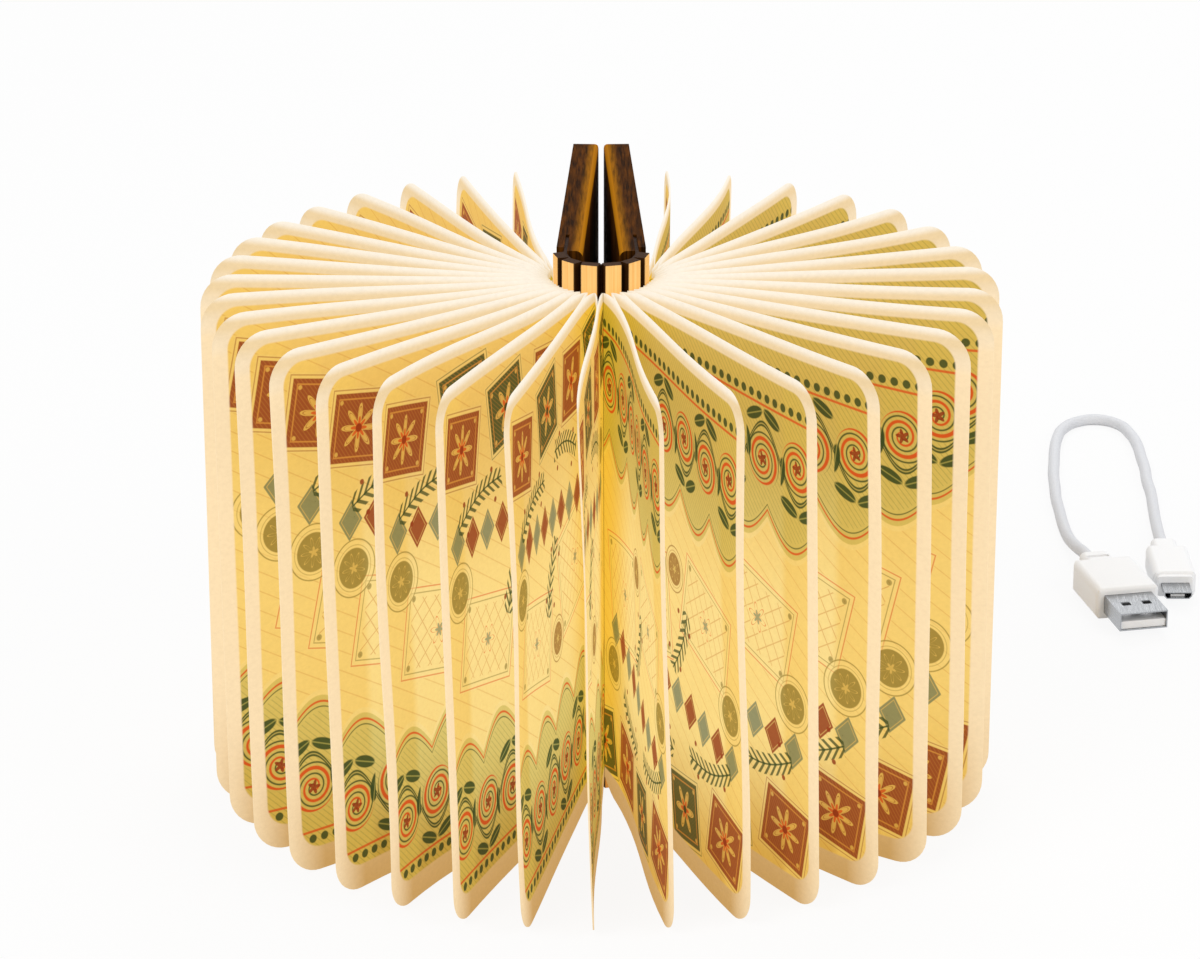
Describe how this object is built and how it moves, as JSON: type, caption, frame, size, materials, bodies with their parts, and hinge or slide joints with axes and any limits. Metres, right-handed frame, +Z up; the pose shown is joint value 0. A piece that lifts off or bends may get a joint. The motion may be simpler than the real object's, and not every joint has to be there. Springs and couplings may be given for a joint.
{
  "type": "folding book lamp",
  "caption": "Book-shaped folding lamp with wood covers, a slatted spine and printed paper leaves that open into a full round fan, and its charging cable.",
  "frame": {"origin": "centre of the lamp's base on the table, open through the full turn, its cable left out", "axes": "+Z up along the spine, -Y to the front leaves, +X to the right; the covers lie back to back at +Y"},
  "size_m": [0.2328, 0.3134, 0.122],
  "materials": {
    "page_paper": "matt fibrous paper, printed on both faces inside a plain cream margin, glowing warm from within",
    "slat_wood": "pale fine-grained wood with charred brown edges",
    "cover_wood": "dark walnut brown with streaks along the cover, satin",
    "lining_wood": "dark walnut brown, satin",
    "spine_leather": "dark brown smooth leather, matt",
    "light_strip": "white flexible board with warm white diodes",
    "ribbon_film": "amber film",
    "cell_foil": "silver foil, satin",
    "circuit_board": "green solder mask",
    "socket_steel": "plated sheet steel",
    "magnet_nickel": "bright nickel plate",
    "lead_plastic": "black flat lead",
    "cord_plastic": "white, very finely textured",
    "plug_plastic": "white moulded, satin",
    "plug_steel": "bright folded sheet steel"
  },
  "bodies": {
    "spine_3": {"spine_slat_3": "slat_wood", "spine_leather": "spine_leather", "led_ribbon": "ribbon_film", "usb_cable": "cord_plastic", "usb_plug_body": "plug_plastic", "usb_plug_shell": "plug_steel", "micro_plug_body": "plug_plastic", "micro_plug_tip": "plug_steel"},
    "spine_2": {"spine_slat_2": "slat_wood", "left_led_strip": "light_strip"},
    "spine_1": {"spine_slat_1": "slat_wood"},
    "spine_4": {"spine_slat_4": "slat_wood"},
    "spine_5": {"spine_slat_5": "slat_wood", "right_led_strip": "light_strip"},
    "spine_6": {"spine_slat_6": "slat_wood"},
    "left_cover": {"left_cover_board": "cover_wood", "left_cover_lining": "lining_wood", "battery": "cell_foil", "circuit_board": "circuit_board", "charge_socket": "socket_steel", "cover_lead": "lead_plastic", "left_cover_magnets": "magnet_nickel"},
    "right_cover": {"right_cover_board": "cover_wood", "right_cover_lining": "lining_wood", "right_cover_magnets": "magnet_nickel"},
    "page_01": {"leaf_01": "page_paper"},
    "page_02": {"leaf_02": "page_paper"},
    "page_03": {"leaf_03": "page_paper"},
    "page_04": {"leaf_04": "page_paper"},
    "page_05": {"leaf_05": "page_paper"},
    "page_06": {"leaf_06": "page_paper"},
    "page_07": {"leaf_07": "page_paper"},
    "page_08": {"leaf_08": "page_paper"},
    "page_09": {"leaf_09": "page_paper"},
    "page_10": {"leaf_10": "page_paper"},
    "page_11": {"leaf_11": "page_paper"},
    "page_12": {"leaf_12": "page_paper"},
    "page_13": {"leaf_13": "page_paper"},
    "page_14": {"leaf_14": "page_paper"},
    "page_15": {"leaf_15": "page_paper"},
    "page_16": {"leaf_16": "page_paper"},
    "page_17": {"leaf_17": "page_paper"},
    "page_18": {"leaf_18": "page_paper"},
    "page_19": {"leaf_19": "page_paper"},
    "page_20": {"leaf_20": "page_paper"},
    "page_21": {"leaf_21": "page_paper"},
    "page_22": {"leaf_22": "page_paper"},
    "page_23": {"leaf_23": "page_paper"},
    "page_24": {"leaf_24": "page_paper"},
    "page_25": {"leaf_25": "page_paper"},
    "page_26": {"leaf_26": "page_paper"},
    "page_27": {"leaf_27": "page_paper"},
    "page_28": {"leaf_28": "page_paper"},
    "page_29": {"leaf_29": "page_paper"},
    "page_30": {"leaf_30": "page_paper"},
    "page_31": {"leaf_31": "page_paper"},
    "page_32": {"leaf_32": "page_paper"},
    "page_33": {"leaf_33": "page_paper"},
    "page_34": {"leaf_34": "page_paper"}
  },
  "joints": [
    {"name": "spine_bend_2_3", "type": "hinge", "parent": "spine_3", "child": "spine_2", "pos_m": [-0.00382, -0.00578, 0], "axis": [0, 0, 1], "range_deg": [0, 29.4]},
    {"name": "spine_bend_1_2", "type": "hinge", "parent": "spine_2", "child": "spine_1", "pos_m": [-0.00666, -0.00303, 0], "axis": [0, 0, 1], "range_deg": [0, 29.4]},
    {"name": "left_cover_hinge", "type": "hinge", "parent": "spine_1", "child": "left_cover", "pos_m": [-0.00778, 0.00076, 0], "axis": [0, 0, 1], "range_deg": [0, 108.85]},
    {"name": "spine_bend_3_4", "type": "hinge", "parent": "spine_3", "child": "spine_4", "pos_m": [0, -0.00678, 0], "axis": [0, 0, -1], "range_deg": [0, 29.4], "deforming": ["spine_leather", "led_ribbon"]},
    {"name": "spine_bend_4_5", "type": "hinge", "parent": "spine_4", "child": "spine_5", "pos_m": [0.00382, -0.00578, 0], "axis": [0, 0, -1], "range_deg": [0, 29.4]},
    {"name": "spine_bend_5_6", "type": "hinge", "parent": "spine_5", "child": "spine_6", "pos_m": [0.00666, -0.00303, 0], "axis": [0, 0, -1], "range_deg": [0, 29.4]},
    {"name": "right_cover_hinge", "type": "hinge", "parent": "spine_6", "child": "right_cover", "pos_m": [0.00778, 0.00076, 0], "axis": [0, 0, -1], "range_deg": [0, 108.85]},
    {"name": "page_01_fold", "type": "hinge", "parent": "left_cover", "child": "page_01", "pos_m": [-0.02017, 0.00075, 0], "axis": [0, 0, -1], "range_deg": [0, 12.9]},
    {"name": "page_02_fold", "type": "hinge", "parent": "left_cover", "child": "page_02", "pos_m": [-0.01395, 0.00255, 0], "axis": [0, 0, -1], "range_deg": [0, 22.75]},
    {"name": "page_03_fold", "type": "hinge", "parent": "left_cover", "child": "page_03", "pos_m": [-0.01164, 0.0032, 0], "axis": [0, 0, -1], "range_deg": [0, 32.6]},
    {"name": "page_04_fold", "type": "hinge", "parent": "left_cover", "child": "page_04", "pos_m": [-0.01051, 0.00347, 0], "axis": [0, 0, -1], "range_deg": [0, 42.45]},
    {"name": "page_05_fold", "type": "hinge", "parent": "left_cover", "child": "page_05", "pos_m": [-0.00989, 0.00357, 0], "axis": [0, 0, -1], "range_deg": [0, 52.3]},
    {"name": "page_06_fold", "type": "hinge", "parent": "left_cover", "child": "page_06", "pos_m": [-0.00954, 0.00354, 0], "axis": [0, 0, -1], "range_deg": [0, 62.15]},
    {"name": "page_07_fold", "type": "hinge", "parent": "left_cover", "child": "page_07", "pos_m": [-0.00934, 0.00343, 0], "axis": [0, 0, -1], "range_deg": [0, 72]},
    {"name": "page_08_fold", "type": "hinge", "parent": "left_cover", "child": "page_08", "pos_m": [-0.00923, 0.00325, 0], "axis": [0, 0, -1], "range_deg": [0, 81.85]},
    {"name": "page_09_fold", "type": "hinge", "parent": "left_cover", "child": "page_09", "pos_m": [-0.00919, 0.00301, 0], "axis": [0, 0, -1], "range_deg": [0, 91.7]},
    {"name": "page_10_fold", "type": "hinge", "parent": "left_cover", "child": "page_10", "pos_m": [-0.00933, 0.00257, 0], "axis": [0, 0, -1], "range_deg": [0, 101.55]},
    {"name": "page_11_fold", "type": "hinge", "parent": "left_cover", "child": "page_11", "pos_m": [-0.00946, 0.00207, 0], "axis": [0, 0, -1], "range_deg": [0, 111.4]},
    {"name": "page_12_fold", "type": "hinge", "parent": "left_cover", "child": "page_12", "pos_m": [-0.00959, 0.00152, 0], "axis": [0, 0, -1], "range_deg": [0, 121.25]},
    {"name": "page_13_fold", "type": "hinge", "parent": "spine_1", "child": "page_13", "pos_m": [-0.01368, -0.00612, 0], "axis": [0, 0, -1], "range_deg": [0, 22.25]},
    {"name": "page_14_fold", "type": "hinge", "parent": "spine_1", "child": "page_14", "pos_m": [-0.01047, -0.00574, 0], "axis": [0, 0, -1], "range_deg": [0, 32.1]},
    {"name": "page_15_fold", "type": "hinge", "parent": "spine_2", "child": "page_15", "pos_m": [-0.0105, -0.01289, 0], "axis": [0, 0, -1], "range_deg": [0, 12.55]},
    {"name": "page_16_fold", "type": "hinge", "parent": "spine_2", "child": "page_16", "pos_m": [-0.00633, -0.00908, 0], "axis": [0, 0, -1], "range_deg": [0, 22.4]},
    {"name": "page_17_fold", "type": "hinge", "parent": "spine_2", "child": "page_17", "pos_m": [-0.00446, -0.00766, 0], "axis": [0, 0, -1], "range_deg": [0, 32.25]},
    {"name": "page_18_fold", "type": "hinge", "parent": "spine_3", "child": "page_18", "pos_m": [-0.00114, -0.00898, 0], "axis": [0, 0, -1], "range_deg": [0, 12.7]},
    {"name": "page_19_fold", "type": "hinge", "parent": "spine_4", "child": "page_19", "pos_m": [0.00126, -0.00845, 0], "axis": [0, 0, 1], "range_deg": [0, 5.7]},
    {"name": "page_20_fold", "type": "hinge", "parent": "spine_5", "child": "page_20", "pos_m": [0.00507, -0.00739, 0], "axis": [0, 0, 1], "range_deg": [0, 24.1]},
    {"name": "page_21_fold", "type": "hinge", "parent": "spine_5", "child": "page_21", "pos_m": [0.00851, -0.01043, 0], "axis": [0, 0, 1], "range_deg": [0, 13.1]},
    {"name": "page_22_fold", "type": "hinge", "parent": "spine_6", "child": "page_22", "pos_m": [0.00978, -0.00523, 0], "axis": [0, 0, 1], "range_deg": [0, 31.5]},
    {"name": "page_23_fold", "type": "hinge", "parent": "spine_6", "child": "page_23", "pos_m": [0.01335, -0.00566, 0], "axis": [0, 0, 1], "range_deg": [0, 20.5]},
    {"name": "page_24_fold", "type": "hinge", "parent": "spine_6", "child": "page_24", "pos_m": [0.02404, -0.0077, 0], "axis": [0, 0, 1], "range_deg": [0, 9.5]},
    {"name": "page_25_fold", "type": "hinge", "parent": "right_cover", "child": "page_25", "pos_m": [0.00925, 0.00215, 0], "axis": [0, 0, 1], "range_deg": [0, 107.35]},
    {"name": "page_26_fold", "type": "hinge", "parent": "right_cover", "child": "page_26", "pos_m": [0.00912, 0.00269, 0], "axis": [0, 0, 1], "range_deg": [0, 96.35]},
    {"name": "page_27_fold", "type": "hinge", "parent": "right_cover", "child": "page_27", "pos_m": [0.00912, 0.00306, 0], "axis": [0, 0, 1], "range_deg": [0, 85.35]},
    {"name": "page_28_fold", "type": "hinge", "parent": "right_cover", "child": "page_28", "pos_m": [0.00924, 0.0033, 0], "axis": [0, 0, 1], "range_deg": [0, 74.35]},
    {"name": "page_29_fold", "type": "hinge", "parent": "right_cover", "child": "page_29", "pos_m": [0.00947, 0.00347, 0], "axis": [0, 0, 1], "range_deg": [0, 63.35]},
    {"name": "page_30_fold", "type": "hinge", "parent": "right_cover", "child": "page_30", "pos_m": [0.00989, 0.00356, 0], "axis": [0, 0, 1], "range_deg": [0, 52.35]},
    {"name": "page_31_fold", "type": "hinge", "parent": "right_cover", "child": "page_31", "pos_m": [0.01063, 0.00354, 0], "axis": [0, 0, 1], "range_deg": [0, 41.35]},
    {"name": "page_32_fold", "type": "hinge", "parent": "right_cover", "child": "page_32", "pos_m": [0.01207, 0.00333, 0], "axis": [0, 0, 1], "range_deg": [0, 30.35]},
    {"name": "page_33_fold", "type": "hinge", "parent": "right_cover", "child": "page_33", "pos_m": [0.01542, 0.00272, 0], "axis": [0, 0, 1], "range_deg": [0, 19.35]},
    {"name": "page_34_fold", "type": "hinge", "parent": "right_cover", "child": "page_34", "pos_m": [0.02828, 0.00026, 0], "axis": [0, 0, 1], "range_deg": [0, 8.35]}
  ],
  "couplings": [
    {"joint": "spine_bend_2_3", "follows": "spine_bend_3_4", "ratio": 0.99998},
    {"joint": "spine_bend_1_2", "follows": "spine_bend_3_4", "ratio": 0.99998},
    {"joint": "left_cover_hinge", "follows": "spine_bend_3_4", "ratio": 3.7023},
    {"joint": "spine_bend_4_5", "follows": "spine_bend_3_4", "ratio": 0.99998},
    {"joint": "spine_bend_5_6", "follows": "spine_bend_3_4", "ratio": 0.99998},
    {"joint": "right_cover_hinge", "follows": "spine_bend_3_4", "ratio": 3.7023},
    {"joint": "page_01_fold", "follows": "spine_bend_3_4", "ratio": 0.43877},
    {"joint": "page_02_fold", "follows": "spine_bend_3_4", "ratio": 0.7738},
    {"joint": "page_03_fold", "follows": "spine_bend_3_4", "ratio": 1.1088},
    {"joint": "page_04_fold", "follows": "spine_bend_3_4", "ratio": 1.4439},
    {"joint": "page_05_fold", "follows": "spine_bend_3_4", "ratio": 1.7789},
    {"joint": "page_06_fold", "follows": "spine_bend_3_4", "ratio": 2.1139},
    {"joint": "page_07_fold", "follows": "spine_bend_3_4", "ratio": 2.4489},
    {"joint": "page_08_fold", "follows": "spine_bend_3_4", "ratio": 2.784},
    {"joint": "page_09_fold", "follows": "spine_bend_3_4", "ratio": 3.119},
    {"joint": "page_10_fold", "follows": "spine_bend_3_4", "ratio": 3.454},
    {"joint": "page_11_fold", "follows": "spine_bend_3_4", "ratio": 3.7891},
    {"joint": "page_12_fold", "follows": "spine_bend_3_4", "ratio": 4.1241},
    {"joint": "page_13_fold", "follows": "spine_bend_3_4", "ratio": 0.75679},
    {"joint": "page_14_fold", "follows": "spine_bend_3_4", "ratio": 1.0918},
    {"joint": "page_15_fold", "follows": "spine_bend_3_4", "ratio": 0.42686},
    {"joint": "page_16_fold", "follows": "spine_bend_3_4", "ratio": 0.76189},
    {"joint": "page_17_fold", "follows": "spine_bend_3_4", "ratio": 1.0969},
    {"joint": "page_18_fold", "follows": "spine_bend_3_4", "ratio": 0.43197},
    {"joint": "page_19_fold", "follows": "spine_bend_3_4", "ratio": 0.19387},
    {"joint": "page_20_fold", "follows": "spine_bend_3_4", "ratio": 0.81971},
    {"joint": "page_21_fold", "follows": "spine_bend_3_4", "ratio": 0.44557},
    {"joint": "page_22_fold", "follows": "spine_bend_3_4", "ratio": 1.0714},
    {"joint": "page_23_fold", "follows": "spine_bend_3_4", "ratio": 0.69727},
    {"joint": "page_24_fold", "follows": "spine_bend_3_4", "ratio": 0.32312},
    {"joint": "page_25_fold", "follows": "spine_bend_3_4", "ratio": 3.6513},
    {"joint": "page_26_fold", "follows": "spine_bend_3_4", "ratio": 3.2772},
    {"joint": "page_27_fold", "follows": "spine_bend_3_4", "ratio": 2.903},
    {"joint": "page_28_fold", "follows": "spine_bend_3_4", "ratio": 2.5289},
    {"joint": "page_29_fold", "follows": "spine_bend_3_4", "ratio": 2.1547},
    {"joint": "page_30_fold", "follows": "spine_bend_3_4", "ratio": 1.7806},
    {"joint": "page_31_fold", "follows": "spine_bend_3_4", "ratio": 1.4064},
    {"joint": "page_32_fold", "follows": "spine_bend_3_4", "ratio": 1.0323},
    {"joint": "page_33_fold", "follows": "spine_bend_3_4", "ratio": 0.65815},
    {"joint": "page_34_fold", "follows": "spine_bend_3_4", "ratio": 0.28401}
  ]
}
